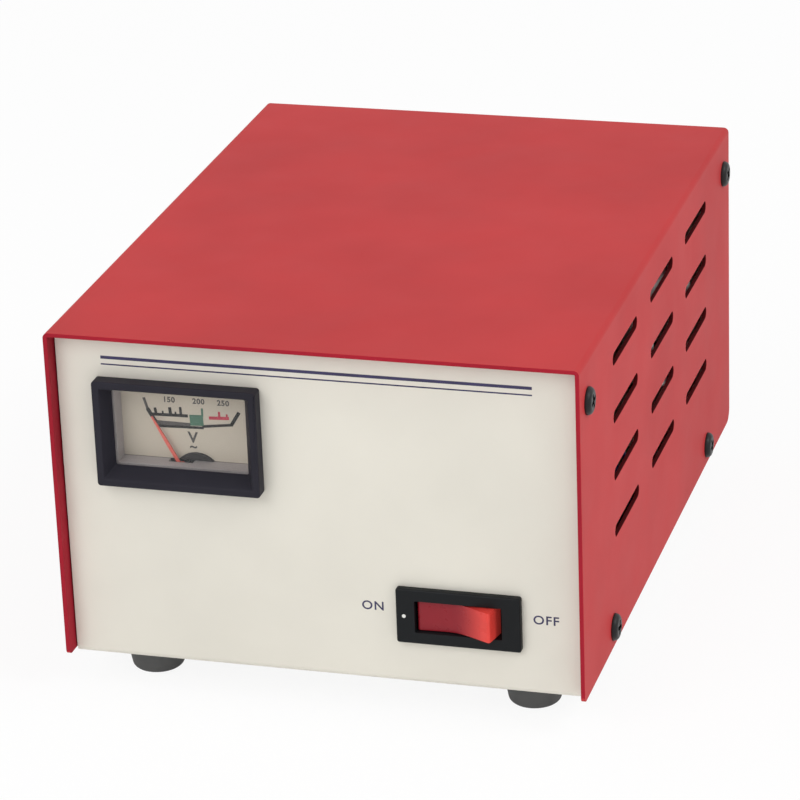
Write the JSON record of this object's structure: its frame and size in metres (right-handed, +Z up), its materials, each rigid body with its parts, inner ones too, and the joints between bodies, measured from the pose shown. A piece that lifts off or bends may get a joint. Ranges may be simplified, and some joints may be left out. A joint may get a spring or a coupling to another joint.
{
  "type": "voltage stabilizer",
  "caption": "Box-shaped relay voltage stabilizer: a vented sheet-steel cover over a chassis with an analogue meter, rocker switch, output sockets, fuse and feet.",
  "frame": {"origin": "on the floor, under the middle of the whole object's box", "axes": "+Z up; the front panel with the meter and the switch faces -Y; +X is to the right seen from the front"},
  "size_m": [0.1534, 0.2108, 0.1087],
  "materials": {
    "red_enamel": "semi-gloss",
    "cream_enamel": "semi-gloss",
    "black_screw": "satin",
    "foot_rubber": "matte",
    "zinc_steel": "bright zinc",
    "bezel_plastic": "satin",
    "case_plastic": "satin",
    "cap_plastic": "satin",
    "clear_pane": "clear",
    "grey_plastic": "satin",
    "dial_paint": "matte",
    "hub_paint": "matte",
    "needle_red": "matte",
    "brass": "bright",
    "coil_copper": "enamelled wire",
    "rocker_red": "translucent gloss",
    "plunger_nylon": "satin",
    "lamp_glass": "clear",
    "core_steel": "varnished",
    "former_plastic": "satin",
    "board_green": "solder mask",
    "chip_black": "matte",
    "capacitor_sleeve": "gloss",
    "resistor_tan": "satin",
    "trimmer_blue": "satin",
    "trimmer_white": "satin",
    "relay_base_plastic": "satin",
    "relay_blue": "gloss",
    "armature_steel": "nickel",
    "socket_plastic": "gloss",
    "fuse_glass": "clear with plated ends",
    "lead_white": "satin",
    "lead_brown": "satin",
    "lead_blue": "satin"
  },
  "bodies": {
    "root": {"cover": "red_enamel", "chassis_front": "cream_enamel", "chassis_floor": "cream_enamel", "chassis_rear": "cream_enamel", "cover_screws": "black_screw", "feet": "foot_rubber", "foot_screws": "zinc_steel", "foot_nuts": "zinc_steel", "meter_bezel": "bezel_plastic", "meter_window": "clear_pane", "meter_surround": "grey_plastic", "meter_dial": "dial_paint", "meter_hub_cover": "hub_paint", "meter_bearings": "brass", "meter_coil": "coil_copper", "meter_case": "case_plastic", "meter_terminals": "brass", "switch_housing": "case_plastic", "switch_terminals": "brass", "transformer_core": "core_steel", "coil_former": "former_plastic", "transformer_windings": "coil_copper", "transformer_brackets": "zinc_steel", "core_bolts": "zinc_steel", "core_nuts": "zinc_steel", "bracket_screws": "zinc_steel", "control_board": "board_green", "board_standoffs": "zinc_steel", "board_screws": "zinc_steel", "board_tabs": "brass", "control_chip": "chip_black", "capacitors": "capacitor_sleeve", "resistors": "resistor_tan", "trimmer_body": "trimmer_blue", "relay_bases": "relay_base_plastic", "relay_coils": "coil_copper", "relay_covers": "relay_blue", "socket_shells": "socket_plastic", "socket_contacts": "brass", "socket_fasteners": "zinc_steel", "fuse_holder": "case_plastic", "fuse_nut": "case_plastic", "cable_gland": "case_plastic", "gland_nut": "case_plastic", "output_leads": "lead_white", "supply_leads": "lead_brown", "meter_leads": "lead_blue"},
    "rocker": {"switch_rocker": "rocker_red", "switch_plunger": "plunger_nylon", "switch_lamp": "lamp_glass"},
    "seesaw": {"switch_contact": "brass"},
    "movement": {"meter_needle": "needle_red", "meter_spindle": "zinc_steel"},
    "trimmer": {"trimmer_rotor": "trimmer_white"},
    "armature_1": {"relay_armature_1": "armature_steel"},
    "armature_2": {"relay_armature_2": "armature_steel"},
    "armature_3": {"relay_armature_3": "armature_steel"},
    "carrier": {"fuse_carrier": "brass", "fuse_cartridge": "fuse_glass"},
    "cap": {"fuse_cap": "cap_plastic"}
  },
  "joints": [
    {"name": "rocker_tilt", "type": "hinge", "parent": "root", "child": "rocker", "pos_m": [0.0391, -0.09757, 0.0314], "axis": [0, 0, 1], "range_deg": [0, 24]},
    {"name": "seesaw_tilt", "type": "hinge", "parent": "root", "child": "seesaw", "pos_m": [0.0391, -0.08728, 0.0314], "axis": [0, 0, 1], "range_deg": [-16, 0]},
    {"name": "needle_swing", "type": "hinge", "parent": "root", "child": "movement", "pos_m": [-0.0405, -0.09398, 0.0677], "axis": [0, 1, 0], "range_deg": [0, 57], "stiffness_Nm_per_rad": 0.00002},
    {"name": "trimmer_turn", "type": "hinge", "parent": "root", "child": "trimmer", "pos_m": [0.03148, -0.01541, 0.0236], "axis": [0, 0, 1], "range_deg": [-135, 135]},
    {"name": "armature_1_pull", "type": "hinge", "parent": "root", "child": "armature_1", "pos_m": [0.02922, -0.00205, 0.02985], "axis": [0, 1, 0], "range_deg": [0, 4.5], "stiffness_Nm_per_rad": 0.002, "springref_deg": -5.73},
    {"name": "armature_2_pull", "type": "hinge", "parent": "root", "child": "armature_2", "pos_m": [0.02922, 0.01595, 0.02985], "axis": [0, 1, 0], "range_deg": [0, 4.5], "stiffness_Nm_per_rad": 0.002, "springref_deg": -5.73},
    {"name": "armature_3_pull", "type": "hinge", "parent": "root", "child": "armature_3", "pos_m": [0.02922, 0.03395, 0.02985], "axis": [0, 1, 0], "range_deg": [0, 4.5], "stiffness_Nm_per_rad": 0.002, "springref_deg": -5.73},
    {"name": "fuse_slide", "type": "slide", "parent": "root", "child": "carrier", "axis": [0, 1, 0], "range_m": [0, 0.03]},
    {"name": "fuse_cap_turn", "type": "hinge", "parent": "carrier", "child": "cap", "pos_m": [0.013, 0.09592, 0.031], "axis": [0, 1, 0], "range_deg": [0, 90]}
  ],
  "couplings": [
    {"joint": "seesaw_tilt", "follows": "rocker_tilt", "ratio": -0.66667}
  ]
}
